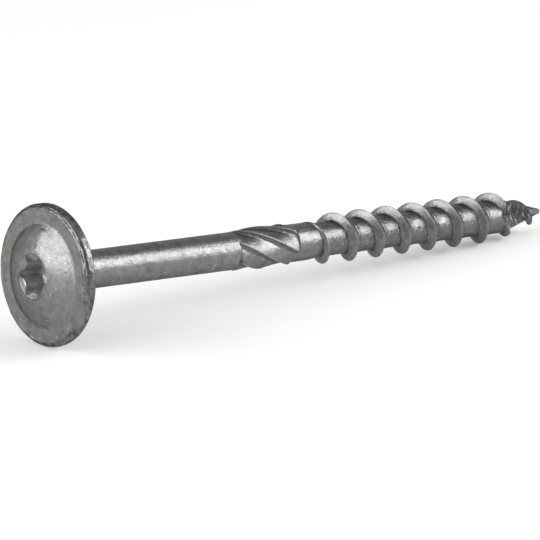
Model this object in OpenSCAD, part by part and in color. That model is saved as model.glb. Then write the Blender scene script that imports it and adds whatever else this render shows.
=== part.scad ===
// Structural wood screw with a washer head, a six-lobe recess, a shank cutter,
// a coarse thread and a notched cutting point. One solid, in millimetres.
// It is drawn upright, point up, and then laid down as it comes to rest:
// on the rim of its head and on one crest of its thread.

/* [Head] */
// Diameter of the washer head
head_d = 22; // [19:0.5:26]
// Thickness of the flat rim
rim_t = 1.9; // [1.6:0.1:2.6]
// Rounding of the rim's front edge
rim_front_round = 0.8; // [0.4:0.1:1]
// Rounding of the rim's edge on the side of the wood
rim_back_round = 0.4; // [0.2:0.1:0.5]
// Diameter of the dome on the head
dome_d = 16.1; // [13:0.1:17]
// Height of the dome, without its recess
dome_h = 2.35; // [1.6:0.05:3]
// Radius of the fillet between head and shank
neck_fillet = 1.5; // [0.5:0.1:2]

/* [Drive recess] */
// Width across two opposite lobes
lobe_d = 6.9; // [5.6:0.05:7.2]
// Width across two opposite ridges between the lobes
web_d = 4.95; // [4:0.05:5.1]
// Radius at the end of each lobe
lobe_round = 0.55; // [0.45:0.01:0.6]
// Depth of the straight part below the mouth
recess_depth = 3.9; // [3:0.1:4.4]
// Diameter of the mouth
mouth_d = 7.2; // [7.2:0.1:8.4]
// Depth of the steep lip round the mouth
lip_h = 0.15; // [0.05:0.05:0.4]
// Width of that lip
lip_w = 0.1; // [0.05:0.05:0.15]
// Slope of the ledge inside the lip
ledge_slope = 9; // [4:1:30]
// Angle of the first lobe from the screw's upper side
lobe_turn = 26; // [0:1:59]

/* [Shank] */
// Length from the underside of the head to the point
length = 100; // [90:5:200]
// Diameter of the smooth shank
shank_d = 5.95; // [5.7:0.05:6.4]

/* [Shank cutter] */
// Length of the cutter
cutter_l = 11.6; // [8:0.1:16]
// Diameter over the cutter's ribs
cutter_d = 6.6; // [6.5:0.05:7.2]
// Diameter in the grooves between the ribs
groove_d = 5.6; // [5.2:0.05:5.65]
// Number of ribs
ribs = 6; // [4:1:8]
// Length in which a rib makes one full turn
rib_lead = 39; // [28:1:60]
// Angle of the first rib where the cutter starts
rib_turn = 55; // [0:1:89]

/* [Thread] */
// Outer diameter of the thread
thread_d = 8; // [7.2:0.1:9]
// Diameter of the core between the turns
core_d = 5.4; // [4.8:0.05:5.6]
// Advance of one turn
pitch = 5.5; // [4.5:0.1:6.5]
// Length of the threaded part, with the point
thread_l = 50.7; // [40:0.1:60]
// Length in which the thread rises to its full height
run_in = 5.2; // [4:0.1:12]
// Angle between the two flanks of the thread
flank_angle = 42; // [34:1:50]
// Width of the thread's crest
crest_w = 0.16; // [0.1:0.02:0.4]
// Plain length between the cutter and the thread
cutter_gap = 2.5; // [1:0.1:5]
// Length in which the shank narrows to the core
neck_l = 3.5; // [2:0.5:5]

/* [Point] */
// Length of the cone at the point
point_l = 8.5; // [7:0.1:10]
// Radius at the very end of the point
point_round = 0.45; // [0.3:0.05:0.6]
// Distance from the point to where the thread gets lower
taper_l = 10.5; // [9:0.1:12]
// Distance from the point to where it has come down
low_l = 4; // [3:0.1:5]
// Diameter of the thread there
low_d = 4.3; // [3:0.1:5]
// Width of its crest there
low_crest_w = 0.6; // [0.2:0.05:0.8]
// Plain length at the very end
plain_end = 1.4; // [1.2:0.1:2]
// Radius of the wheel that cuts the notch
notch_wheel_r = 4.4; // [4:0.1:6]
// Angle between the notch's two faces
notch_v = 130; // [110:5:160]
// Height of the notch's floor above the axis
notch_floor = 0.1; // [0:0.05:0.6]
// Distance from the notch's middle to the point
notch_from_end = 6.5; // [6:0.1:7]
// Angle of the notch from the screw's upper side
notch_turn = 75; // [0:1:180]

/* [Resting place] */
// Distance from the point to the crest that the screw lies on
rest_from_end = 13.25; // [13:0.25:18]

/* [Hidden] */
head_r = head_d / 2;
dome_r = dome_d / 2;
shank_r = shank_d / 2;
core_r = core_d / 2;
thread_r = thread_d / 2;
low_r = low_d / 2;
cutter_r = cutter_d / 2;
groove_r = groove_d / 2;
mouth_r = mouth_d / 2;
steel = "#9b9b97";

// the sphere that the dome is cut from
dome_sphere_r = (dome_r * dome_r + dome_h * dome_h) / (2 * dome_h);
dome_top = -rim_t - dome_h;
mouth_z = dome_top + dome_sphere_r - sqrt(dome_sphere_r * dome_sphere_r - mouth_r * mouth_r);

// small run-outs: shank past the thread's start, each end of a rib, share of a turn at the thread's end
neck_lag = 0.2;
rib_rise = 0.2;
end_turn = 0.2;

// places along the axis, from the underside of the head
thread_start = length - thread_l;
cutter_end = thread_start - cutter_gap;
cutter_start = cutter_end - cutter_l;
neck_start = thread_start + neck_lag;
neck_end = neck_start + neck_l;
cone_start = length - point_l;
full_end = length - taper_l;
low_start = length - low_l;
thread_end = length - plain_end;
rest_z = length - rest_from_end;

// how far the turns and ribs reach into the solid that carries them, and past its groove
sunk = 0.3;
run_out = 0.5;
// how far the recess's ridges bite into its lobes, so that no two of its curves only touch
lobe_cut = 0.03;
// shank beyond the cutter's groove, and the smallest radius of the thread's foot
ledge = 0.1;
least_r = 0.1;
// steps round a circle and along one turn of the thread
arc_steps = 96;
turn_steps = 40;

// the resting place: rim and crest touch one level surface
rim_ring_r = head_r - rim_back_round;
rest_reach = rest_z + crest_w / 2 + rim_back_round;
rest_drop = rim_ring_r - thread_r;
rest_tilt = atan2(rest_drop, rest_reach) + asin(rim_back_round / norm([rest_drop, rest_reach]));
rest_height = rim_ring_r * cos(rest_tilt) + rim_back_round - rim_back_round * sin(rest_tilt);
back_end = mouth_z * cos(rest_tilt) - mouth_r * sin(rest_tilt);
front_end = (length - point_round) * cos(rest_tilt) + point_round;
middle_x = (back_end + front_end) / 2;

// radius of the body without its thread, at height z
function body_r(z) =
    z < neck_start ? shank_r
    : z < neck_end ? shank_r + (core_r - shank_r) * (z - neck_start) / (neck_end - neck_start)
    : z < cone_start ? core_r
    : max(point_round, core_r - (core_r - point_round) * (z - cone_start) / (length - point_round - cone_start));

// radius of the thread's crest at height z: a soft rise, full height, then a fall to its last height
function share(z, from, to) = min(1, max(0, (z - from) / (to - from)));
function eased(t) = t * t * (3 - 2 * t);
function rise(z) = eased(share(z, thread_start, thread_start + run_in));
function fade(z) = share(z, thread_end, thread_end - pitch * end_turn);
function fallen(z) = eased(share(z, full_end, low_start));
function envelope_r(z) = thread_r + (low_r - thread_r) * fallen(z);
function crest_half(z) = (crest_w + (low_crest_w - crest_w) * fallen(z)) / 2;
function crest_r(z) =
    let (base = body_r(z) - sunk / 2)
    base + max(0, envelope_r(z) - base) * rise(z) * fade(z);

function crest_z(angle) = rest_z + pitch * (angle - 180) / 360;
// one section of the thread at an angle, in height and radius: foot, crest, crest, foot
function turn_section(angle) =
    let (
        z = crest_z(angle),
        top_r = crest_r(z),
        top_w = crest_half(z),
        foot_r = max(least_r, body_r(z) - sunk),
        foot_w = top_w + (top_r - foot_r) * tan(flank_angle / 2)
    )
    [[z + foot_w, foot_r], [z + top_w, top_r], [z - top_w, top_r], [z - foot_w, foot_r]];

function around(angle, place) = [place[1] * cos(angle), place[1] * sin(angle), place[0]];

// faces between rings of points, with a cap on the first ring and on the last
function skin(rings, count) = [
    for (i = [0 : rings - 2], j = [0 : count - 1], half = [0, 1])
        let (
            a = i * count + j,
            b = i * count + (j + 1) % count,
            c = a + count,
            d = b + count
        )
        half == 0 ? [a, d, b] : [a, c, d]
];
function first_cap(count) = [[for (j = [0 : count - 1]) j]];
function last_cap(rings, count) = [[for (j = [count - 1 : -1 : 0]) (rings - 1) * count + j]];
function closed_skin(rings, count) = concat(skin(rings, count), first_cap(count), last_cap(rings, count));

first_angle = 180 + 360 * (thread_start - rest_z) / pitch;
last_angle = 180 + 360 * (thread_end - rest_z) / pitch;
thread_rings = ceil((last_angle - first_angle) * turn_steps / 360) + 1;

module thread() {
    angles = [for (i = [0 : thread_rings - 1]) first_angle + (last_angle - first_angle) * i / (thread_rings - 1)];
    points = [for (angle = angles, place = turn_section(angle)) around(angle, place)];
    polyhedron(points, closed_skin(thread_rings, 4));
}

// the ribs of the cutter: a steep cutting side, then a long slope up to the next rib
rib_shape = [[0, 1], [0.1, 0.5], [0.22, 0], [0.45, 0.2], [0.7, 0.5], [0.9, 0.86]];
cutter_steps = 14;
cutter_count = ribs * len(rib_shape);

function rib_ring(z, height) = [
    for (k = [0 : ribs - 1], place = rib_shape)
        let (
            angle = rib_turn + (k + place[0]) * 360 / ribs + (z - cutter_start) * 360 / rib_lead,
            r = height == 0 ? groove_r - sunk : groove_r + (cutter_r - groove_r) * place[1]
        )
        around(angle, [z, r])
];

module cutter() {
    full = [for (i = [0 : cutter_steps]) cutter_start + rib_rise + (cutter_l - 2 * rib_rise) * i / cutter_steps];
    rings = concat(
        [rib_ring(cutter_start - run_out, 0)],
        [for (z = full) rib_ring(z, 1)],
        [rib_ring(cutter_end + run_out, 0)]
    );
    points = [for (ring = rings, point = ring) point];
    polyhedron(points, closed_skin(len(rings), cutter_count));
}

// half section of the head: radius to the right, height upward
module head_profile() {
    translate([0, -rim_t]) square([head_r - rim_front_round, rim_t]);
    translate([0, rim_front_round - rim_t]) square([head_r - rim_back_round, rim_t - rim_front_round]);
    translate([0, rim_front_round - rim_t]) square([head_r, rim_t - rim_front_round - rim_back_round]);
    translate([head_r - rim_front_round, rim_front_round - rim_t]) circle(rim_front_round, $fn = arc_steps);
    translate([head_r - rim_back_round, -rim_back_round]) circle(rim_back_round, $fn = arc_steps);
    intersection() {
        translate([0, dome_top + dome_sphere_r]) circle(dome_sphere_r, $fn = 4 * arc_steps);
        translate([0, dome_top]) square([dome_r + 1, dome_h + rim_t / 2]);
    }
    difference() {
        translate([0, -rim_t / 2]) square([shank_r + neck_fillet, neck_fillet + rim_t / 2]);
        translate([shank_r + neck_fillet, neck_fillet]) circle(neck_fillet, $fn = arc_steps);
    }
}

// half section of shank, core and point
module shaft_profile() {
    point_mid = length - point_round;
    cone_h = point_mid - cone_start;
    cone_lean = acos(point_round / norm([cone_h, core_r])) - atan2(cone_h, core_r);
    inner_r = groove_r - sunk;
    polygon([
        [0, -rim_t / 2],
        [shank_r, -rim_t / 2],
        [shank_r, cutter_start - ledge],
        [inner_r, cutter_start + run_out],
        [inner_r, cutter_end - run_out],
        [shank_r, cutter_end + ledge],
        [shank_r, neck_start],
        [core_r, neck_end],
        [core_r, cone_start],
        [point_round * cos(cone_lean), point_mid + point_round * sin(cone_lean)],
        [0, point_mid + point_round * sin(cone_lean)]
    ]);
    intersection() {
        translate([0, point_mid]) circle(point_round, $fn = arc_steps);
        translate([0, point_mid - point_round]) square([point_round, 2 * point_round]);
    }
}

// outline of the recess: six small lobes, cut by six wider ridges between them
module lobe_outline() {
    lobe_mid = lobe_d / 2 - lobe_round;
    web_r = web_d / 2;
    cut_r = lobe_round - lobe_cut;
    ridge_r = (pow(lobe_mid, 2) + pow(web_r, 2) - 2 * lobe_mid * web_r * cos(30) - pow(cut_r, 2))
        / (2 * (cut_r + lobe_mid * cos(30) - web_r));
    difference() {
        union() {
            circle(lobe_mid + lobe_round / 2, $fn = 6);
            for (k = [0 : 5])
                rotate(60 * k) translate([lobe_mid, 0]) circle(lobe_round, $fn = arc_steps);
        }
        for (k = [0 : 5])
            rotate(60 * k + 30) translate([web_r + ridge_r, 0]) circle(ridge_r, $fn = arc_steps);
    }
}

module recess() {
    above = 1;
    floor_fall = tan(30);
    inner_r = web_d / 2 - lobe_cut;
    ledge_r = mouth_r - lip_w;
    ledge_h = lip_h + (ledge_r - inner_r) * tan(ledge_slope);
    rotate(lobe_turn) translate([0, 0, mouth_z - above])
        linear_extrude(above + recess_depth) lobe_outline();
    translate([0, 0, mouth_z]) rotate_extrude($fn = arc_steps)
        polygon([
            [0, -above],
            [mouth_r + above * lip_w / lip_h, -above],
            [ledge_r, lip_h],
            [inner_r, ledge_h],
            [0, ledge_h]
        ]);
    translate([0, 0, mouth_z + recess_depth - lobe_cut])
        cylinder(h = inner_r * floor_fall, r1 = inner_r, r2 = lobe_cut, $fn = arc_steps);
}

// the notch: the path of a wheel with a sloped edge across the side of the point
module notch() {
    side = thread_r;
    side_r = notch_wheel_r - side / tan(notch_v / 2);
    rotate(notch_turn) translate([notch_floor + notch_wheel_r, 0, length - notch_from_end])
        rotate([90, 0, 0]) rotate_extrude($fn = 2 * arc_steps)
            polygon([[0, -side], [side_r, -side], [notch_wheel_r, 0], [side_r, side], [0, side]]);
}

module upright_screw() {
    difference() {
        union() {
            difference() {
                rotate_extrude($fn = arc_steps) {
                    head_profile();
                    shaft_profile();
                }
                recess();
            }
            cutter();
            thread();
        }
        notch();
    }
}

module screw() {
    color(steel)
        translate([-middle_x, 0, rest_height])
            rotate([0, 90 + rest_tilt, 0]) rotate(180) upright_screw();
}

screw();
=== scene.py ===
# %% [markdown]
# A structural screw is one piece of steel wire. Its head and recess are pressed, its cutter and
# thread are rolled between dies, its point is nipped, and then the whole screw gets a zinc coat.
# So the visible model is one closed mesh too. It could be carved out of the construction model
# with modifiers, but a grid of rows and columns that is worked out by formula gives clean edges
# that run along the ribs and the thread, and it leaves room for the small flaws of real steel.

# %% Load the construction model
import math

import bmesh
import bpy
import numpy as np
from mathutils import Matrix, Vector, noise


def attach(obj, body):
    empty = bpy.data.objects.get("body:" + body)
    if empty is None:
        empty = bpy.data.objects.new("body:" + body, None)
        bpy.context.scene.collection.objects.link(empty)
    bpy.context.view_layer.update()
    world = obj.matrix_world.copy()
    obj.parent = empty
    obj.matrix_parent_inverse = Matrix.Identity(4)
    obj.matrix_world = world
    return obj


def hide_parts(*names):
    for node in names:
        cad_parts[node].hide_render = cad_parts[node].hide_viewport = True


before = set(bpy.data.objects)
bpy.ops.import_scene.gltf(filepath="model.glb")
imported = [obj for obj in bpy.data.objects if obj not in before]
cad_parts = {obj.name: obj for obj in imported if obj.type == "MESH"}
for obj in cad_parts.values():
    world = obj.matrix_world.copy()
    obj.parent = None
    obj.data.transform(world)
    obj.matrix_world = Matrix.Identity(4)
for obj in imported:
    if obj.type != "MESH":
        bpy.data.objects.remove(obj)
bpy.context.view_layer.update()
print("pieces of the construction model:", list(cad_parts))

# %% [markdown]
# The screw is easiest to describe along its own axis: s is the distance in millimetres from the
# underside of the head towards the point, theta is the angle round the axis, and r the distance
# from it. These are the same driving sizes as those of the construction model.

# %% Driving sizes, in millimetres and degrees
HEAD_R = 11.0
RIM_T = 1.9
FRONT_ROUND = 0.8
BACK_ROUND = 0.4
DOME_R = 8.05
DOME_H = 2.35
NECK_FILLET = 1.5
LOBE_R = 3.45
WEB_R = 2.475
LOBE_ROUND = 0.55
RECESS_DEPTH = 3.9
MOUTH_R = 3.6
LIP_H = 0.15
LIP_W = 0.1
LEDGE_SLOPE = 9.0
FLOOR_SLOPE = 30.0
LOBE_TURN = 26.0
LENGTH = 100.0
SHANK_R = 2.975
CUTTER_START = 35.2
CUTTER_END = 46.8
CUTTER_R = 3.3
GROOVE_R = 2.8
RIBS = 6
RIB_LEAD = 39.0
RIB_TURN = 55.0
THREAD_R = 4.0
CORE_R = 2.7
PITCH = 5.5
THREAD_START = 49.3
NECK_START = 49.5
NECK_END = 53.0
RUN_IN = 5.2
HALF_FLANK = 21.0
CREST_W = 0.16
REST_S = 86.75
CONE_START = 91.5
FULL_END = 89.5
LOW_START = 96.0
LOW_R = 2.15
LOW_CREST_W = 0.6
THREAD_END = 98.6
POINT_ROUND = 0.45
NOTCH_WHEEL_R = 4.4
NOTCH_V = 130.0
NOTCH_FLOOR = 0.1
NOTCH_S = 93.5
NOTCH_TURN = 75.0

dome_sphere = (DOME_R ** 2 + DOME_H ** 2) / (2 * DOME_H)
dome_top = -RIM_T - DOME_H
mouth_s = dome_top + dome_sphere - math.sqrt(dome_sphere ** 2 - MOUTH_R ** 2)
print("dome top and mouth at s:", round(dome_top, 2), round(mouth_s, 2))

# %% [markdown]
# A screw lies on two points: the rim of its head and one crest of its thread. Where those two
# touch one level floor gives its tilt and its height. lay_down turns (s, theta, r) into metres in
# the shared frame, and measure turns metres back into (s, theta, r).

# %% The lying pose
rim_ring = HEAD_R - BACK_ROUND
reach = REST_S + CREST_W / 2 + BACK_ROUND
drop = rim_ring - THREAD_R
tilt = math.atan2(drop, reach) + math.asin(BACK_ROUND / math.hypot(drop, reach))
seat_height = rim_ring * math.cos(tilt) + BACK_ROUND * (1 - math.sin(tilt))
back_x = mouth_s * math.cos(tilt) - MOUTH_R * math.sin(tilt)
front_x = (LENGTH - POINT_ROUND) * math.cos(tilt) + POINT_ROUND
SEAT = np.array([-(back_x + front_x) / 2, 0, seat_height])
ALONG = np.array([math.cos(tilt), 0, -math.sin(tilt)])
UP = np.array([math.sin(tilt), 0, math.cos(tilt)])
SIDE = np.array([0, -1.0, 0])


def lay_down(s, theta, r):
    turn = np.radians(theta)
    out = np.multiply.outer(s, ALONG)
    out = out + np.multiply.outer(r * np.cos(turn), UP) + np.multiply.outer(r * np.sin(turn), SIDE)
    return (out + SEAT) / 1000


def measure(places):
    off = places * 1000 - SEAT
    up, side = off @ UP, off @ SIDE
    return off @ ALONG, np.degrees(np.arctan2(side, up)), np.hypot(up, side)


print("tilt", round(math.degrees(tilt), 2), "degrees, underside of the head at", SEAT.round(2), "mm")

# %% [markdown]
# The mesh is a stack of closed rows. Every row has the same number of columns, a multiple of six,
# so that the six lobes and the six ribs fall on whole columns. A row is three arrays: s, theta and
# r. Each part of the screw adds its rows in order, from the floor of the recess, out over the head
# and down the shank to the point.

# %% Columns
COLUMNS = 144
SECTOR = COLUMNS // RIBS
column = np.arange(COLUMNS)
plain_theta = LOBE_TURN + 360 * column / COLUMNS
rows = []


def add_row(s, r, theta=plain_theta):
    ones = np.ones(COLUMNS)
    rows.append((s * ones, theta * ones, r * ones))


# %% [markdown]
# The six-lobe recess is pressed with a punch. Its outline is six small arcs joined by six larger
# ones that curve the other way. In polar form each arc is one square root. The columns are then
# spaced evenly along the outline, which keeps the tight lobes round.

# %% The outline of the recess
lobe_mid = LOBE_R - LOBE_ROUND
HALF_SECTOR = math.pi / 6
along_ridge = lobe_mid * math.cos(HALF_SECTOR)
ridge_over = lobe_mid ** 2 + WEB_R ** 2 - 2 * along_ridge * WEB_R - LOBE_ROUND ** 2
ridge_round = ridge_over / (2 * (LOBE_ROUND + along_ridge - WEB_R))
ridge_mid = WEB_R + ridge_round
lobe_part = LOBE_ROUND / (LOBE_ROUND + ridge_round)
touch = math.atan2(
    ridge_mid * math.sin(HALF_SECTOR) * lobe_part,
    lobe_mid + (ridge_mid * math.cos(HALF_SECTOR) - lobe_mid) * lobe_part,
)


def outline_r(phi):
    if phi < touch:
        return lobe_mid * math.cos(phi) + math.sqrt(LOBE_ROUND ** 2 - (lobe_mid * math.sin(phi)) ** 2)
    psi = HALF_SECTOR - phi
    return ridge_mid * math.cos(psi) - math.sqrt(ridge_round ** 2 - (ridge_mid * math.sin(psi)) ** 2)


fine_phi = np.linspace(0, HALF_SECTOR, 600)
fine_r = np.array([outline_r(p) for p in fine_phi])
fine_xy = np.stack([fine_r * np.cos(fine_phi), fine_r * np.sin(fine_phi)], 1)
walked = np.concatenate([[0], np.cumsum(np.linalg.norm(np.diff(fine_xy, axis=0), axis=1))])
even = np.linspace(0, walked[-1], SECTOR // 2 + 1)
half_phi = np.degrees(np.interp(even, walked, fine_phi))
half_r = np.interp(even, walked, fine_r)

lobe_theta = np.zeros(COLUMNS)
lobe_r = np.zeros(COLUMNS)
for j in range(COLUMNS):
    step = j % SECTOR
    near = min(step, SECTOR - step)
    sign = 1 if step <= SECTOR // 2 else -1
    centre = 60 * (j // SECTOR + (sign < 0))
    lobe_theta[j] = LOBE_TURN + centre + sign * half_phi[near]
    lobe_r[j] = half_r[near]
print("recess outline from", round(lobe_r.min(), 3), "to", round(lobe_r.max(), 3), "mm")

# %% [markdown]
# The floor of the recess is a shallow cone left by the punch. The walls rise straight to a ledge
# that slopes a little, and a low steep lip leads from the ledge up to the dome. Each corner gets two
# close rows, because real pressed corners are never quite sharp, and it is the small round that
# catches the light.

# %% Recess rows
LEDGE_FALL = math.tan(math.radians(LEDGE_SLOPE))
FLOOR_FALL = math.tan(math.radians(FLOOR_SLOPE))
LEDGE_R = MOUTH_R - LIP_W
CORNER = 0.06
floor_s = mouth_s + RECESS_DEPTH
for share in (0.02, 0.25, 0.5, 0.7, 0.85):
    reach_r = share * lobe_r
    add_row(floor_s + np.maximum(0, WEB_R - reach_r) * FLOOR_FALL, reach_r, lobe_theta)
add_row(floor_s, lobe_r - CORNER, lobe_theta)
add_row(floor_s - CORNER, lobe_r, lobe_theta)
wall_top = mouth_s + LIP_H + (LEDGE_R - lobe_r) * LEDGE_FALL
for share in (0.2, 0.4, 0.6, 0.8, 0.93):
    add_row(floor_s + (wall_top - floor_s) * share, lobe_r, lobe_theta)
add_row(wall_top + CORNER, lobe_r, lobe_theta)
for share in (0.08, 0.35, 0.65, 0.9):
    ledge_r = lobe_r + (LEDGE_R - lobe_r) * share
    ledge_theta = lobe_theta + (plain_theta - lobe_theta) * share
    add_row(mouth_s + LIP_H + (LEDGE_R - ledge_r) * LEDGE_FALL, ledge_r, ledge_theta)
for share in (0.15, 0.7, 0.95):
    add_row(mouth_s + LIP_H * (1 - share), LEDGE_R + LIP_W * share)
print("recess rows:", len(rows))

# %% [markdown]
# The head is a lathe shape: a low dome that meets a flat rim, a rounded front edge, a short side
# wall, and the flat underside with its fillet. Its profile is a chain of lines and arcs, each walked
# in a few steps. The rough lip that forging leaves at the front edge comes later, with the flaws.

# %% Head rows
CREASE_SOFT = 0.05


def dome_s(r):
    dome = dome_top + dome_sphere - np.sqrt(dome_sphere ** 2 - r ** 2)
    return (dome - RIM_T - np.sqrt((dome + RIM_T) ** 2 + CREASE_SOFT ** 2)) / 2


for r in np.linspace(MOUTH_R + 0.06, DOME_R - 0.6, 9):
    add_row(dome_s(r), r)
for r in np.linspace(DOME_R - 0.4, DOME_R + 0.4, 7):
    add_row(dome_s(r), r)
for r in np.linspace(DOME_R + 0.7, HEAD_R - FRONT_ROUND - 0.2, 4):
    add_row(dome_s(r), r)
FACE_EDGE = HEAD_R - FRONT_ROUND
for angle in np.radians(np.linspace(0, 90, 13)):
    add_row(-RIM_T + FRONT_ROUND * (1 - math.cos(angle)), FACE_EDGE + FRONT_ROUND * math.sin(angle))
for s in (-0.95, -0.8, -0.65, -0.5):
    add_row(s, HEAD_R)
for angle in np.radians(np.linspace(0, 90, 6)):
    add_row(-BACK_ROUND * (1 - math.sin(angle)), HEAD_R - BACK_ROUND * (1 - math.cos(angle)))
for r in np.linspace(rim_ring - 0.6, SHANK_R + NECK_FILLET + 0.3, 8):
    add_row(0, r)
for angle in np.radians(np.linspace(0, 90, 10)):
    add_row(NECK_FILLET * (1 - math.cos(angle)), SHANK_R + NECK_FILLET * (1 - math.sin(angle)))
print("rows to the end of the fillet:", len(rows))

# %% [markdown]
# The shank is plain wire. Its rows stand 0.3 mm apart, close enough to carry the shallow waves that
# a later step presses into it. On the way, its columns turn slowly, so that they meet the ribs of
# the cutter where those begin.

# %% Shank rows
shear = RIB_TURN - LOBE_TURN
for s in np.arange(NECK_FILLET + 0.25, CUTTER_START - 0.3, 0.3):
    add_row(s, SHANK_R, plain_theta + shear * s / CUTTER_START)
print("rows to the end of the shank:", len(rows))

# %% [markdown]
# The cutter widens the hole for the shank. Its ribs have a steep side that cuts and a long slope
# behind it. If each column turns with the ribs, every crest lies on one column from end to end
# and needs no extra points to stay sharp. Where the cutter begins and ends, the rolling dies left
# a crisp edge on one side and a soft one on the other. Along the crisp edges a thin ring groove
# marks the start and a low lip the end, and on each crest the metal stands up as a fine burr.

# %% Cutter rows
RIB_FOOT = 0.24
START_STEP = 0.08
SOFT_START = 0.9
END_NOSE = 0.3
SOFT_NOSE = 0.8
START_SIDE = 95.0
END_SIDE = 70.0
BURR = 0.06
RING_DEPTH = 0.08
RING_W = 0.08
END_LIP = 0.1
END_LIP_W = 0.1


def rib_height(share):
    fall = 1 - np.minimum(share / RIB_FOOT, 1)
    rise = np.clip((share - RIB_FOOT) / (1 - RIB_FOOT), 0, 1)
    return np.where(share < RIB_FOOT, fall ** 1.9, rise ** 1.5) + BURR * (share == 0)


def smooth(x):
    x = np.clip(x, 0, 1)
    return x * x * (3 - 2 * x)


rib_share = (column % SECTOR) / SECTOR
cutter_s = np.concatenate([
    CUTTER_START + np.array([-0.16, -0.1, -0.05, 0, 0.05, 0.1, 0.16, 0.28]),
    np.arange(CUTTER_START + 0.45, CUTTER_END - 0.7, 0.27),
    np.arange(CUTTER_END - 0.6, CUTTER_END + 0.3, 0.08),
])
for s in cutter_s:
    turned = 360 * max(0, s - CUTTER_START) / RIB_LEAD
    here = plain_theta + shear + turned
    crisp_start = smooth((np.cos(np.radians(here - START_SIDE)) - 0.55) / 0.25)
    crisp_end = smooth((np.cos(np.radians(here - END_SIDE)) - 0.6) / 0.25)
    begun = smooth((s - CUTTER_START + 0.03) / (START_STEP + SOFT_START * (1 - crisp_start)))
    nose = END_NOSE + SOFT_NOSE * (1 - crisp_end)
    grown = begun * (1 - smooth((s - CUTTER_END + nose) / nose))
    ribbed = GROOVE_R + (CUTTER_R - GROOVE_R) * rib_height(rib_share)
    ring = crisp_start * RING_DEPTH * math.exp(-((s - CUTTER_START + 0.04) / RING_W) ** 2)
    end_lip = crisp_end * END_LIP * math.exp(-((s - CUTTER_END - 0.03) / END_LIP_W) ** 2)
    add_row(s, SHANK_R + (ribbed - SHANK_R) * grown - ring + end_lip, here)
cutter_theta = plain_theta + shear + 360 * (cutter_s[-1] - CUTTER_START) / RIB_LEAD
print("rows to the end of the cutter:", len(rows))

# %% [markdown]
# Behind the cutter the wire is plain for a short way. Then it narrows to the core of the thread, and
# near the end to the small round of the point. The crest of the thread rises out of the wire, keeps
# its full height and falls to a low, broad ridge on the cone, so that the screw bites at once.

# %% Body radius and thread crest along the screw
SPIRAL_START = THREAD_START - 0.1
SPIRAL_END = THREAD_END + 0.4
for s in np.arange(cutter_s[-1] + 0.2, SPIRAL_START - 0.1, 0.25):
    add_row(s, SHANK_R, cutter_theta)


def fallen(s):
    return smooth((s - FULL_END) / (LOW_START - FULL_END))


def body_r(s):
    neck = SHANK_R + (CORE_R - SHANK_R) * smooth((s - NECK_START) / (NECK_END - NECK_START))
    cone = CORE_R - (CORE_R - POINT_ROUND) * (s - CONE_START) / (LENGTH - POINT_ROUND - CONE_START)
    return np.minimum(neck, np.maximum(cone, POINT_ROUND))


def crest_r(s):
    base = body_r(s) - 0.1
    rise = smooth((s - THREAD_START) / RUN_IN)
    fade = np.clip((THREAD_END - s) / (0.25 * PITCH), 0, 1)
    full = THREAD_R + (LOW_R - THREAD_R) * fallen(s)
    return base + np.maximum(0, full - base) * rise * fade


for s in (THREAD_START + 1.0, REST_S, LOW_START):
    print("s", s, "body radius", body_r(s).round(2), "crest radius", crest_r(s).round(2))

# %% [markdown]
# A thread is a ridge that climbs one pitch in each turn. On a grid of level rows its crest would
# be a staircase. Here the rows climb with the thread instead: after the last column, a row joins
# the one that lies a pitch higher at the first column. At both ends the climbing rows are cut off
# by one level row, which takes the place of every point that would lie beyond it.

# %% Offsets of the climbing rows from the crest
half_width = CREST_W / 2
flank_run = (THREAD_R - CORE_R) * math.tan(math.radians(HALF_FLANK))
one_side = np.concatenate([
    [half_width, half_width + 0.04],
    half_width + flank_run * np.array([0.25, 0.5, 0.7, 0.85, 1.0]),
    half_width + flank_run + np.array([0.08, 0.18, 0.34]),
])
past_foot = np.array([1.18, 1.36, 1.44, 1.52, 1.6, 1.76, 1.92, 2.0, 2.08, 2.24, 2.5])
offsets = np.concatenate([-one_side[::-1], [0], one_side, past_foot, [2.9, 3.3, 3.8, 4.3]])
offsets = offsets[offsets < PITCH - one_side[-1] - 0.1]
PER_TURN = len(offsets)
print("rows in one turn of the thread:", PER_TURN)

# %% [markdown]
# Each point of a row belongs to the flank or to the core, whichever stands higher, and a soft join
# rounds the root. Between the turns the rolling dies leave two low seams, where their edges met.

# %% Radius of the threaded part
SEAM_AT = 1.5
SECOND_SEAM_AT = 2.04
SEAM_W = 0.1
SEAM_H = 0.12
SECOND_SEAM = 0.5
ROOT_SOFT = 0.12


def threaded_r(s, away):
    body = body_r(s)
    past_crest = np.abs(away) - (CREST_W + (LOW_CREST_W - CREST_W) * fallen(s)) / 2
    crest_soft = 0.03 + 0.12 * fallen(s)
    past_crest = (past_crest + np.sqrt(past_crest ** 2 + crest_soft ** 2)) / 2
    flank = crest_r(s) - past_crest / math.tan(math.radians(HALF_FLANK))
    joined = (body + flank + np.sqrt((body - flank) ** 2 + ROOT_SOFT ** 2)) / 2
    full = smooth((s - THREAD_START - 4) / 4) * (1 - smooth((s - CONE_START + 1) / 2))
    seam = np.exp(-((away - SEAM_AT) / SEAM_W) ** 2)
    seam = seam + SECOND_SEAM * np.exp(-((away - SECOND_SEAM_AT) / SEAM_W) ** 2)
    return joined + SEAM_H * seam * full


print("radius over the first seam:", threaded_r(REST_S, SEAM_AT).round(3))

# %% [markdown]
# Every turn of the thread is one block of rows, and each column stands a little further along than
# the one before it. Where two turns reach the same place, the larger radius wins. The crest has to
# touch the floor at REST_S, and that is on the underside, half a turn from theta zero.

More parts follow.
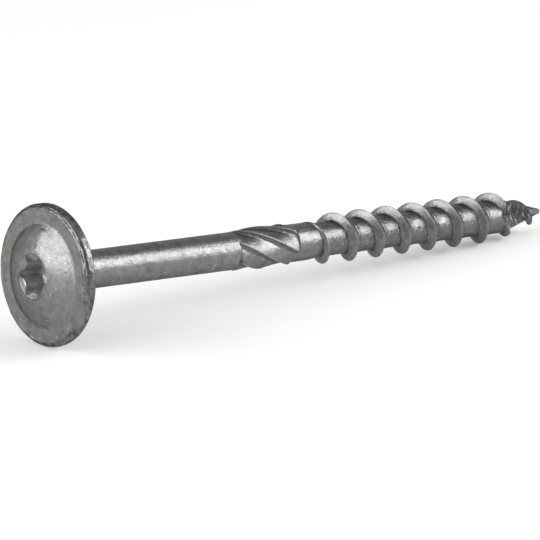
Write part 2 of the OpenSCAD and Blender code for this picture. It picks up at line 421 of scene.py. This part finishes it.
# %% Threaded grid
REST_THETA = 180
spiral_theta = cutter_theta
crest_at_zero = REST_S - PITCH * REST_THETA / 360
first_turn = math.floor((SPIRAL_START - crest_at_zero - PITCH * spiral_theta.max() / 360) / PITCH) - 1
last_turn = math.ceil((SPIRAL_END - crest_at_zero - PITCH * spiral_theta.min() / 360) / PITCH) + 1
turn_numbers = np.arange(first_turn, last_turn + 1)
crest_base = crest_at_zero + PITCH * (spiral_theta[None, :] / 360 + turn_numbers[:, None])
spiral_s = (crest_base[:, None, :] + offsets[None, :, None]).reshape(-1, COLUMNS)
away_block = (len(turn_numbers), PER_TURN, COLUMNS)
spiral_away = np.broadcast_to(offsets[None, :, None], away_block).reshape(-1, COLUMNS)
spiral_r = np.maximum(threaded_r(spiral_s, spiral_away), threaded_r(spiral_s, spiral_away - PITCH))
print("spiral rows:", spiral_s.shape[0], "from s", spiral_s.min().round(2), "to", spiral_s.max().round(2))

# %% [markdown]
# Two level rows close the spiral, one at each end. A few more run down the last of the cone and
# round the point.

# %% Point rows
add_row(SPIRAL_START, SHANK_R, cutter_theta)
start_row = len(rows) - 1
point_mid = LENGTH - POINT_ROUND
add_row(SPIRAL_END, float(body_r(np.array(SPIRAL_END))), cutter_theta)
end_row = len(rows) - 1
for s in np.linspace(SPIRAL_END + 0.15, point_mid, 3):
    add_row(s, float(body_r(np.array(s))), cutter_theta)
for angle in np.radians(np.linspace(15, 82, 6)):
    add_row(point_mid + POINT_ROUND * math.sin(angle), POINT_ROUND * math.cos(angle), cutter_theta)
print("closed rows:", len(rows))

# %% [markdown]
# Now the points get numbers and the faces are joined up. A climbing row's points beyond a level
# end row take that row's numbers, and faces that collapse because of it are dropped.

# %% Points and faces
all_s = np.array([row[0] for row in rows])
all_theta = np.array([row[1] for row in rows])
all_r = np.array([row[2] for row in rows])
closed_count = all_s.size
closed_index = np.arange(closed_count).reshape(-1, COLUMNS)

inside = (spiral_s > SPIRAL_START + 0.03) & (spiral_s < SPIRAL_END - 0.03)
spiral_index = np.where(spiral_s <= SPIRAL_START + 0.03, closed_index[start_row], closed_index[end_row])
spiral_index[inside] = closed_count + np.arange(inside.sum())

spiral_theta_all = np.broadcast_to(spiral_theta, spiral_s.shape)
point_s = np.concatenate([all_s.ravel(), spiral_s[inside], [floor_s + WEB_R * FLOOR_FALL, LENGTH]])
point_theta = np.concatenate([all_theta.ravel(), spiral_theta_all[inside], [0, 0]])
point_r = np.concatenate([all_r.ravel(), spiral_r[inside], [0, 0]])
first_tip = len(point_s) - 2
last_tip = len(point_s) - 1

faces = []


def join(a, b, c, d):
    face = []
    for corner in (a, b, c, d):
        if corner not in face:
            face.append(int(corner))
    if len(face) > 2:
        faces.append(face)


for i in range(len(rows) - 1):
    if i == start_row:
        continue
    for j in range(COLUMNS):
        k = (j + 1) % COLUMNS
        join(closed_index[i, j], closed_index[i, k], closed_index[i + 1, k], closed_index[i + 1, j])
for i in range(spiral_s.shape[0] - 1):
    for j in range(COLUMNS - 1):
        k = j + 1
        join(spiral_index[i, j], spiral_index[i, k], spiral_index[i + 1, k], spiral_index[i + 1, j])
    if i + PER_TURN + 1 < spiral_s.shape[0]:
        low, high = spiral_index[i + PER_TURN, 0], spiral_index[i + PER_TURN + 1, 0]
        join(spiral_index[i, -1], low, high, spiral_index[i + 1, -1])
for j in range(COLUMNS):
    k = (j + 1) % COLUMNS
    faces.append([first_tip, int(closed_index[0, k]), int(closed_index[0, j])])
    faces.append([int(closed_index[-1, j]), int(closed_index[-1, k]), last_tip])

mesh = bpy.data.meshes.new("screw_skin")
mesh.from_pydata(lay_down(point_s, point_theta, point_r).tolist(), [], faces)
mesh.validate()
screw = bpy.data.objects.new("screw_skin", mesh)
bpy.context.scene.collection.objects.link(screw)
print("points", len(mesh.vertices), "faces", len(mesh.polygons))

# %% [markdown]
# The rim of the head is nearly four times as wide as the shank, so there the columns stand too far
# apart for a ragged edge. Cutting each of its ring edges in two doubles them.

# %% More columns round the rim
work = bmesh.new()
work.from_mesh(mesh)
rim_edges = []
for edge in work.edges:
    a, b = edge.verts[0].index, edge.verts[1].index
    same_row = max(a, b) < closed_count and a // COLUMNS == b // COLUMNS
    if same_row and point_r[a] > FACE_EDGE - 0.5 and point_s[a] < -0.2:
        rim_edges.append(edge)
bmesh.ops.subdivide_edges(work, edges=rim_edges, cuts=1, use_grid_fill=True)
work.to_mesh(mesh)
work.free()
print("ring edges cut in two:", len(rim_edges), "faces now", len(mesh.polygons))

# %% [markdown]
# Real steel isn't quite smooth. The whole screw has fine waves, a hundredth of a millimetre high. On
# the head's rim the forging die left a ragged lip at the edge of the face, a groove behind it and an
# uneven side wall, all within 0.15 mm. Small lumps of zinc have gathered between the turns of the
# thread. Noise pushes each point along its normal. The mathutils noise gives the same value at the
# same place in every run, so nothing has to be seeded.

# %% Small flaws of the surface
WAVE = 0.011
WAVE_NOISE = (900, 2600)
EDGE_LIP = 0.10
EDGE_LIP_AT = FACE_EDGE + 0.08
EDGE_LIP_W = 0.14
EDGE_GROOVE = 0.09
EDGE_GROOVE_AT = FACE_EDGE + 0.44
EDGE_GROOVE_W = 0.13
RAGGED_NOISE = (1000, 2100)
WALL = 0.07
WALL_NOISE = 620
LUMP = 0.09
LUMP_NOISE = 1250
normals = np.array([v.normal for v in mesh.vertices])
coords = np.array([v.co for v in mesh.vertices])
s_at, theta_at, r_at = measure(coords)
push = np.zeros(len(coords))


def noise_at(place, scale):
    return noise.noise(Vector(place * scale))


def hump(value, middle, width):
    return math.exp(-((value - middle) / width) ** 2)


for n, place in enumerate(coords):
    push[n] = WAVE * 0.6 * (noise_at(place, WAVE_NOISE[0]) + noise_at(place, WAVE_NOISE[1]))
    if s_at[n] < -0.25 and r_at[n] > FACE_EDGE - 0.45:
        ragged = noise_at(place, RAGGED_NOISE[0]) + 1.1 * noise_at(place, RAGGED_NOISE[1])
        push[n] += EDGE_LIP * hump(r_at[n], EDGE_LIP_AT, EDGE_LIP_W) * max(0, 0.25 + ragged)
        push[n] -= EDGE_GROOVE * hump(r_at[n], EDGE_GROOVE_AT, EDGE_GROOVE_W) * max(0, 0.6 - ragged)
        wall = smooth((s_at[n] + 1.5) / 0.4) * (1 - smooth((s_at[n] + 0.45) / 0.25))
        push[n] += WALL * wall * (noise_at(place, WALL_NOISE) + 0.5 * ragged)
    if s_at[n] > NECK_END and r_at[n] < CORE_R + 0.25:
        push[n] += LUMP * max(0, noise_at(place, LUMP_NOISE) - 0.2)
coords += normals * (push / 1000)[:, None]
mesh.vertices.foreach_set("co", coords.ravel())
mesh.update()
print("flaws up to", round(float(np.abs(push).max()), 3), "mm")

# %% [markdown]
# The notch at the point is ground by a small wheel. A boolean with a wheel-shaped cylinder cuts
# its edges exactly, which a grid of points can't do, because the cut runs across rows and columns.

# %% Notch at the point
wheel_mesh = bpy.data.meshes.new("notch_wheel")
WHEEL_STEPS = 128
WHEEL_HALF = THREAD_R
wheel_points = []
for side in (-WHEEL_HALF, 0, WHEEL_HALF):
    wheel_r = NOTCH_WHEEL_R - abs(side) / math.tan(math.radians(NOTCH_V / 2))
    for n in range(WHEEL_STEPS):
        angle = 2 * math.pi * n / WHEEL_STEPS
        s = NOTCH_S + wheel_r * math.sin(angle)
        across = NOTCH_FLOOR + NOTCH_WHEEL_R - wheel_r * math.cos(angle)
        r = math.hypot(across, side)
        wheel_points.append(lay_down(s, NOTCH_TURN + math.degrees(math.atan2(side, across)), r).tolist())
ring = list(range(WHEEL_STEPS))
wheel_faces = [ring[::-1], [n + 2 * WHEEL_STEPS for n in ring]]
for n in range(2 * WHEEL_STEPS):
    m = n + 1 if (n + 1) % WHEEL_STEPS else n + 1 - WHEEL_STEPS
    wheel_faces.append([n, m, m + WHEEL_STEPS, n + WHEEL_STEPS])
wheel_mesh.from_pydata(wheel_points, [], wheel_faces)
wheel = bpy.data.objects.new("notch_wheel", wheel_mesh)
bpy.context.scene.collection.objects.link(wheel)


def outward(thing):
    work = bmesh.new()
    work.from_mesh(thing)
    bmesh.ops.recalc_face_normals(work, faces=work.faces)
    volume = work.calc_volume(signed=True)
    if volume < 0:
        bmesh.ops.reverse_faces(work, faces=work.faces)
    work.to_mesh(thing)
    work.free()
    return abs(volume) * 1e9


print("volume of the wheel, mm3:", round(outward(wheel_mesh), 1))
print("volume of the screw before the notch, mm3:", round(outward(mesh), 1))
cut = screw.modifiers.new("notch", "BOOLEAN")
cut.operation = "DIFFERENCE"
cut.object = wheel
cut.solver = "EXACT"
bpy.context.view_layer.update()
cut_mesh = bpy.data.meshes.new_from_object(screw.evaluated_get(bpy.context.evaluated_depsgraph_get()))
screw.modifiers.clear()
screw.data = cut_mesh
cut_mesh.name = "screw_skin"
bpy.data.objects.remove(wheel)
print("volume with the notch, mm3:", round(outward(cut_mesh), 1), "faces", len(cut_mesh.polygons))

# %% [markdown]
# Where two faces meet at a steep angle the edge stays sharp, as round the notch. Inside the cutter
# every edge is shaded soft, because sharp shading would break its long slopes into facets.

# %% Sharp and soft edges
SHARP_ANGLE = 40.0
cut_mesh.shade_smooth()
cut_mesh.set_sharp_from_angle(angle=math.radians(SHARP_ANGLE))
coords = np.array([v.co for v in cut_mesh.vertices])
s_at, theta_at, r_at = measure(coords)
sharp_edges = cut_mesh.attributes["sharp_edge"].data
for edge in cut_mesh.edges:
    if CUTTER_START + 0.3 < s_at[edge.vertices[0]] < CUTTER_END - 0.3:
        sharp_edges[edge.index].value = False
print("sharp edges:", sum(mark.value for mark in sharp_edges), "of", len(cut_mesh.edges))

# %% [markdown]
# The coat isn't the same everywhere, and some of its colour is painted light and shade. Two sets of
# numbers on the mesh say where it differs: the first holds a factor for the colour and, as its fourth
# number, how dull the metal is, and "relief" says how strong the fine bumps are. On the head, the
# pressed face of the rim is a little darker and warmer, stains cover the side wall of the rim in
# patches, and the recess is dull and painted pale, which stands for light that reaches into it.

# %% Zones of the head
DOME_COAT = (1.00, 1.00, 1.02)
FACE_COAT = (0.93, 0.91, 0.88)
WALL_COAT = 0.84
STAIN_LEAST = 0.18
STAIN_MORE = 0.3
PAINTED_RECESS_LIGHT = (2.0, 2.0, 2.06)
RECESS_DULL = 0.7
HEAD_RELIEF = 0.55
WALL_RELIEF = 0.7
# Besides the coat's own tones, this factor holds painted highlights, painted shade and painted light.
coat_and_painted_light = np.ones((len(coords), 4))
coat_and_painted_light[:, 3] = 0
relief = np.ones(len(coords))
on_face = (s_at < -1.6) & (r_at > DOME_R + 0.03) & (r_at < FACE_EDGE + 0.05)
on_dome = (s_at < -1.7) & (r_at < DOME_R)
below_ledge = s_at > mouth_s + LIP_H + np.maximum(0, LEDGE_R - r_at) * LEDGE_FALL + 0.03
in_recess = below_ledge & (((s_at < 0.22) & (r_at < MOUTH_R)) | ((s_at < 1.8) & (r_at < 2.6)))
on_wall = (s_at < 0.1) & (r_at > FACE_EDGE + 0.1)
coat_and_painted_light[on_dome, :3] = DOME_COAT
coat_and_painted_light[on_face, :3] = FACE_COAT
for n in np.nonzero(on_wall)[0]:
    spots = noise_at(coords[n], 2000) + 0.6 * noise_at(coords[n], 950)
    patch = smooth((noise_at(coords[n], 300) + 0.2) / 0.4)
    stain = (STAIN_LEAST + STAIN_MORE * patch) * smooth((spots + 0.02) / 0.3)
    coat_and_painted_light[n, :3] = WALL_COAT * (1 - stain)
# painted light: the recess is made twice as pale, to stand for the light that reaches into it
coat_and_painted_light[in_recess, :3] = PAINTED_RECESS_LIGHT
coat_and_painted_light[in_recess, 3] = RECESS_DULL
relief[on_dome | on_face] = HEAD_RELIEF
relief[on_wall | in_recess] = WALL_RELIEF
print("points on the dome", int(on_dome.sum()), "and in the recess", int(in_recess.sum()))

# %% [markdown]
# A scuffed streak runs up the dome from the mouth of the recess. It is a soft band, much rougher than
# the metal beside it, and a little brighter as a painted glint.

# %% Scuffed streak and its painted glint on the dome
STREAK_THETA = 2.0
STREAK_W = 0.8
STREAK_RELIEF = 1.9
PAINTED_STREAK_GLINT = 0.25
off_streak = np.radians(theta_at - STREAK_THETA) * r_at
scuff_and_glint = on_dome * np.exp(-(off_streak / STREAK_W) ** 2)
scuff_and_glint = scuff_and_glint * smooth((r_at - 3.5) / 0.5) * (1 - smooth((r_at - 6.9) / 0.6))
relief += STREAK_RELIEF * scuff_and_glint
# painted glint: the colour along the streak is made up to a quarter brighter
coat_and_painted_light[:, :3] *= (1 + PAINTED_STREAK_GLINT * scuff_and_glint)[:, None]
print("points on the streak:", int((scuff_and_glint > 0.5).sum()))

# %% [markdown]
# The crests of the ribs get a painted highlight, and the corner at their foot a painted shade. Both
# are found by their angle from a crest, which turns with the ribs. On the thread, the tone goes from
# that of the core to the lighter and cooler one of the flanks as the radius grows.

# %% Zones of the ribs and the thread
PAINTED_CREST_HIGHLIGHT = 1.9
PAINTED_FOOT_SHADE = 0.66
CORE_COAT = 0.87
FLANK_COAT = 1.01
FLANK_HUE = np.array([1.06, 1.07, 1.09])
CORE_RELIEF = 0.5
RIB_STEP = 360 / RIBS
rib_at = (theta_at - LOBE_TURN - shear - 360 * (s_at - CUTTER_START) / RIB_LEAD) % RIB_STEP
on_rib = (s_at > CUTTER_START + 0.05) & (s_at < CUTTER_END - 0.3)
crest = np.minimum(rib_at, RIB_STEP - rib_at) < 0.6
foot = (rib_at > 2) & (rib_at < 15)
# painted highlight: the crests of the ribs are made nearly twice as bright
coat_and_painted_light[on_rib & crest, :3] = PAINTED_CREST_HIGHLIGHT
# painted shade: the corner at the foot of each rib is made darker
coat_and_painted_light[on_rib & foot, :3] = PAINTED_FOOT_SHADE
on_thread = smooth((s_at - 49.5) / 3)[:, None]
flank = smooth((r_at - CORE_R - 0.1) / 0.5)[:, None]
grey = (CORE_COAT + (FLANK_COAT - CORE_COAT) * flank) * (1 + flank * (FLANK_HUE - 1))
coat_and_painted_light[:, :3] *= 1 + on_thread * (grey - 1)
relief *= 1 + CORE_RELIEF * (on_thread * (1 - flank))[:, 0]
cut_mesh.attributes.new("coat_and_painted_light", "FLOAT_COLOR", "POINT").data.foreach_set("color", coat_and_painted_light.ravel())
cut_mesh.attributes.new("relief", "FLOAT", "POINT").data.foreach_set("value", relief)
print("points on rib crests:", int((on_rib & crest).sum()))

# %% [markdown]
# A third set of numbers, "cut", is one on each face that the wheel left; the material makes those
# faces darker. Such a face is known by its middle, which lies on the wheel's surface.

# %% Faces left by the wheel
middles = np.array([face.center for face in cut_mesh.polygons])
s_mid, theta_mid, r_mid = measure(middles)
lean = np.radians(theta_mid - NOTCH_TURN)
across = r_mid * np.cos(lean) - NOTCH_FLOOR - NOTCH_WHEEL_R
wheel_here = NOTCH_WHEEL_R - np.abs(r_mid * np.sin(lean)) / math.tan(math.radians(NOTCH_V / 2))
on_wheel = np.abs(np.hypot(s_mid - NOTCH_S, across) - wheel_here) < 0.03
on_wheel &= (across < 0) & (s_mid > NOTCH_S - NOTCH_WHEEL_R)
cut_mesh.attributes.new("cut", "FLOAT", "FACE").data.foreach_set("value", on_wheel.astype(float))
print("faces left by the wheel:", int(on_wheel.sum()))

# %% [markdown]
# The zinc coat is a dull, slightly mottled grey metal. Its material is a tree of nodes, all worked
# out from the place on the screw. These helpers keep the tree short to write: each adds one node
# or two and gives back the output.

# %% Helpers for materials


def node(tree, kind, **settings):
    made = tree.nodes.new(kind)
    for name, value in settings.items():
        setattr(made, name, value)
    return made


def noise_map(tree, coordinates, scale, detail=3.0, rough=0.5):
    made = node(tree, "ShaderNodeTexNoise")
    made.inputs["Scale"].default_value = scale
    made.inputs["Detail"].default_value = detail
    made.inputs["Roughness"].default_value = rough
    tree.links.new(coordinates, made.inputs["Vector"])
    return made.outputs["Fac"]


def ramp(tree, value, stops):
    made = node(tree, "ShaderNodeValToRGB")
    while len(made.color_ramp.elements) < len(stops):
        made.color_ramp.elements.new(0.5)
    for element, (place, colour) in zip(made.color_ramp.elements, stops):
        element.position = place
        element.color = (*colour, 1)
    tree.links.new(value, made.inputs["Fac"])
    return made.outputs["Color"]


def maths(tree, operation, *values):
    made = node(tree, "ShaderNodeMath", operation=operation)
    for socket, value in zip(made.inputs, values):
        if isinstance(value, float):
            socket.default_value = value
        else:
            tree.links.new(value, socket)
    return made.outputs[0]


def times(tree, first, second):
    made = node(tree, "ShaderNodeVectorMath", operation="MULTIPLY")
    tree.links.new(first, made.inputs[0])
    tree.links.new(second, made.inputs[1])
    return made.outputs[0]


def specks(tree, coordinates, scale, size, kept):
    cells = node(tree, "ShaderNodeTexVoronoi")
    cells.inputs["Scale"].default_value = scale
    tree.links.new(coordinates, cells.inputs["Vector"])
    near = ramp(tree, cells.outputs["Distance"], [(size * 0.55, (1, 1, 1)), (size, (0, 0, 0))])
    return maths(tree, "MULTIPLY", near, maths(tree, "LESS_THAN", cells.outputs["Color"], kept))


zinc = bpy.data.materials.new("galvanised_steel")
zinc.use_nodes = True
tree = zinc.node_tree
shader = tree.nodes["Principled BSDF"]
where = node(tree, "ShaderNodeTexCoord").outputs["Object"]
zone = node(tree, "ShaderNodeAttribute", attribute_name="coat_and_painted_light")
raised = node(tree, "ShaderNodeAttribute", attribute_name="relief").outputs["Fac"]
notch_face = node(tree, "ShaderNodeAttribute", attribute_name="cut").outputs["Fac"]
print("material", zinc.name, "reads", zone.attribute_name, "and two more sets of numbers")

# %% [markdown]
# Zinc sets in small crystals, so its grey is mottled. Dark pits and light grains are strewn over it.
# The faces that the wheel left are darker, with light streaks across them.

# %% Colour of the coat
EDGE_TINT = (0.42, 0.42, 0.43, 1)
GREYS = [(0.3, (0.165, 0.164, 0.162)), (0.5, (0.225, 0.225, 0.223)), (0.7, (0.28, 0.28, 0.28))]
STREAK_STOPS = [(0.53, (0, 0, 0)), (0.66, (1, 1, 1))]
STREAK_STRETCH = (2.6, 1.0, 0.8)
shader.inputs["Specular Tint"].default_value = EDGE_TINT
tint = ramp(tree, noise_map(tree, where, 800, 5.0, 0.65), GREYS)
pits = specks(tree, where, 700, 0.14, 0.5)
grains = specks(tree, where, 1100, 0.17, 0.5)
stretch = node(tree, "ShaderNodeMapping")
stretch.inputs["Scale"].default_value = STREAK_STRETCH
tree.links.new(where, stretch.inputs["Vector"])
streaks = ramp(tree, noise_map(tree, stretch.outputs[0], 900, 3.0, 0.55), STREAK_STOPS)
notch_streaks = maths(tree, "MULTIPLY", streaks, notch_face)
colour = times(tree, tint, zone.outputs["Color"])
for mask, change in ((pits, -0.6), (grains, 1.1), (notch_face, -0.36), (notch_streaks, 2.6)):
    colour = times(tree, colour, maths(tree, "MULTIPLY_ADD", mask, change, 1.0))
tree.links.new(colour, shader.inputs["Base Color"])
print("nodes after the colour:", len(tree.nodes))

# %% [markdown]
# Roughness varies from place to place too, and a fine bump breaks up the edge of every reflection,
# as the grain of zinc does. The recess is duller than the rest, because zinc gathers more thickly in
# a hollow, and the wheel left its chatter in the notch.

# %% Roughness and fine bumps
METAL_LOSS = -0.55
ROUGHNESS = [(0.3, (0.25, 0.25, 0.25)), (0.7, (0.43, 0.43, 0.43))]
BUMPS = ((4200, 3.0, 0.6, 0.000040), (1900, 2.0, 0.5, 0.000070), (600, 2.0, 0.5, 0.000050))
PIT_DEPTH = 0.000040
CHATTER = 0.000300
dull = ramp(tree, noise_map(tree, where, 2400, 3.0, 0.6), ROUGHNESS)
rough = maths(tree, "MULTIPLY_ADD", notch_face, 0.12, dull)
rough = maths(tree, "MULTIPLY_ADD", zone.outputs["Alpha"], 0.15, rough)
metal = maths(tree, "MULTIPLY_ADD", zone.outputs["Alpha"], METAL_LOSS, 1.0)
tree.links.new(rough, shader.inputs["Roughness"])
tree.links.new(metal, shader.inputs["Metallic"])
height = maths(tree, "MULTIPLY", pits, -PIT_DEPTH)
for scale, detail, weight, depth in BUMPS:
    height = maths(tree, "MULTIPLY_ADD", noise_map(tree, where, scale, detail, weight), depth, height)
chatter = maths(tree, "MULTIPLY", noise_map(tree, where, 1700, 5.0, 0.65), notch_face)
height = maths(tree, "MULTIPLY_ADD", chatter, CHATTER, height)
height = maths(tree, "MULTIPLY", height, raised)
bump = node(tree, "ShaderNodeBump")
bump.inputs["Strength"].default_value = 0.7
bump.inputs["Distance"].default_value = 1.0
tree.links.new(height, bump.inputs["Height"])
tree.links.new(bump.outputs["Normal"], shader.inputs["Normal"])
cut_mesh.materials.clear()
cut_mesh.materials.append(zinc)
print("nodes in the material:", len(tree.nodes))

# %% [markdown]
# The skin takes the place of the construction model's only piece. It rides on the root body, since
# nothing on a screw moves, and it has the one material of the part.

# %% Skin in place of the construction model
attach(screw, "root")
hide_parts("screw")
print("triangles of the skin:", sum(len(face.vertices) - 2 for face in cut_mesh.polygons))

# %% [markdown]
# The screw lies on a plain pale table. The table is only a large matt sheet at the height of the
# screw's lowest points. A faint glow lifts it to white where it is looked at or mirrored, and its
# soft shadow stays.

# %% Table
TABLE_HALF = 3.0
TABLE_GLOW = 0.25
table_mesh = bpy.data.meshes.new("table")
signs = ((-1, -1), (1, -1), (1, 1), (-1, 1))
corners = [(TABLE_HALF * a, TABLE_HALF * b, 0) for a, b in signs]
table_mesh.from_pydata(corners, [], [(0, 1, 2, 3)])
table = bpy.data.objects.new("table", table_mesh)
bpy.context.scene.collection.objects.link(table)
paper = bpy.data.materials.new("table_paper")
paper.use_nodes = True
paper_tree = paper.node_tree
sheet = paper_tree.nodes["Principled BSDF"]
sheet.inputs["Base Color"].default_value = (0.85, 0.85, 0.85, 1)
sheet.inputs["Roughness"].default_value = 1.0
sheet.inputs["Specular IOR Level"].default_value = 0.0
rays = node(paper_tree, "ShaderNodeLightPath").outputs
seen = maths(paper_tree, "MAXIMUM", rays["Is Camera Ray"], rays["Is Glossy Ray"])
seen = maths(paper_tree, "MAXIMUM", seen, rays["Is Transmission Ray"])
sheet.inputs["Emission Color"].default_value = (1, 1, 1, 1)
glow = maths(paper_tree, "MULTIPLY", seen, TABLE_GLOW)
paper_tree.links.new(glow, sheet.inputs["Emission Strength"])
table_mesh.materials.append(paper)
print("table", 2 * TABLE_HALF, "m wide")

# %% [markdown]
# Metal shows what it reflects. A wide soft box on the left lights the dome and the flanks of the
# thread that face it, and one on the right draws the bright band along the shank. A weak one behind
# the screw picks out its upper edges, a small low one fills the left, and a large one hangs over
# the table. The room itself stays dim, which gives each bright band its dark borders.

# %% Soft boxes and room
ROOM_LIGHT = 0.32


def soft_box(name, azimuth, elevation, distance, width, height, power):
    lamp = bpy.data.lights.new(name, "AREA")
    lamp.shape = "RECTANGLE"
    lamp.size = width
    lamp.size_y = height
    lamp.energy = power
    thing = bpy.data.objects.new(name, lamp)
    turn, lift = math.radians(azimuth), math.radians(elevation)
    away = Vector((math.sin(turn) * math.cos(lift), math.cos(turn) * math.cos(lift), math.sin(lift)))
    thing.location = away * distance
    thing.rotation_euler = away.to_track_quat("Z", "Y").to_euler()
    bpy.context.scene.collection.objects.link(thing)
    print(name, "at", [round(c, 2) for c in thing.location], "m with", power, "W")


soft_box("left_box", -74, 22, 0.7, 0.80, 0.44, 3.8)
soft_box("right_box", 128, 26, 0.7, 0.44, 0.46, 3.3)
soft_box("top_box", 0, 90, 1.0, 1.0, 1.0, 1.4)
soft_box("back_box", 47, 20, 0.8, 0.45, 0.45, 0.46)
soft_box("low_box", -22, 8, 0.8, 0.24, 0.16, 0.11)

world = bpy.data.worlds.new("room")
bpy.context.scene.world = world
world.use_nodes = True
room = world.node_tree.nodes["Background"]
room.inputs["Color"].default_value = (1, 1, 1, 1)
room.inputs["Strength"].default_value = ROOM_LIGHT

# %% [markdown]
# The camera stands almost a metre away and looks down on the screw from the side of its head. Its
# lens is long, so that the screw's far end shows nearly as large as its near one. The lens is worked
# out for a square picture, whose middle looks at a point close to the middle of the screw. Places are
# given in millimetres here, and angles in degrees.

# %% Camera
PICTURE = 540
LENS_PIXELS = 6288.37
SENSOR = 36.0
VIEW_AZIMUTH = 39.544
VIEW_DOWN = 16.218
VIEW_ROLL = -0.152
VIEW_DISTANCE = 984.62
LOOK_AT = (-5.678, -1.108, 3.967)
camera_data = bpy.data.cameras.new("camera")
camera_data.sensor_width = SENSOR
camera_data.lens = LENS_PIXELS * SENSOR / PICTURE
camera_data.clip_start = 0.05
camera_data.clip_end = 20
camera = bpy.data.objects.new("camera", camera_data)
turn, down = math.radians(VIEW_AZIMUTH), math.radians(VIEW_DOWN)
looking = Vector((math.sin(turn) * math.cos(down), math.cos(turn) * math.cos(down), -math.sin(down)))
camera.location = (Vector(LOOK_AT) - looking * VIEW_DISTANCE) / 1000
level = looking.to_track_quat("-Z", "Y").to_matrix().to_4x4()
roll = Matrix.Rotation(math.radians(VIEW_ROLL), 4, "Z")
camera.matrix_world = Matrix.Translation(camera.location) @ level @ roll
bpy.context.scene.collection.objects.link(camera)
bpy.context.scene.camera = camera
bpy.context.scene.view_settings.view_transform = "Standard"
stands = [round(c, 4) for c in camera.matrix_world.translation]
print("camera at", stands, "lens", round(camera_data.lens, 1))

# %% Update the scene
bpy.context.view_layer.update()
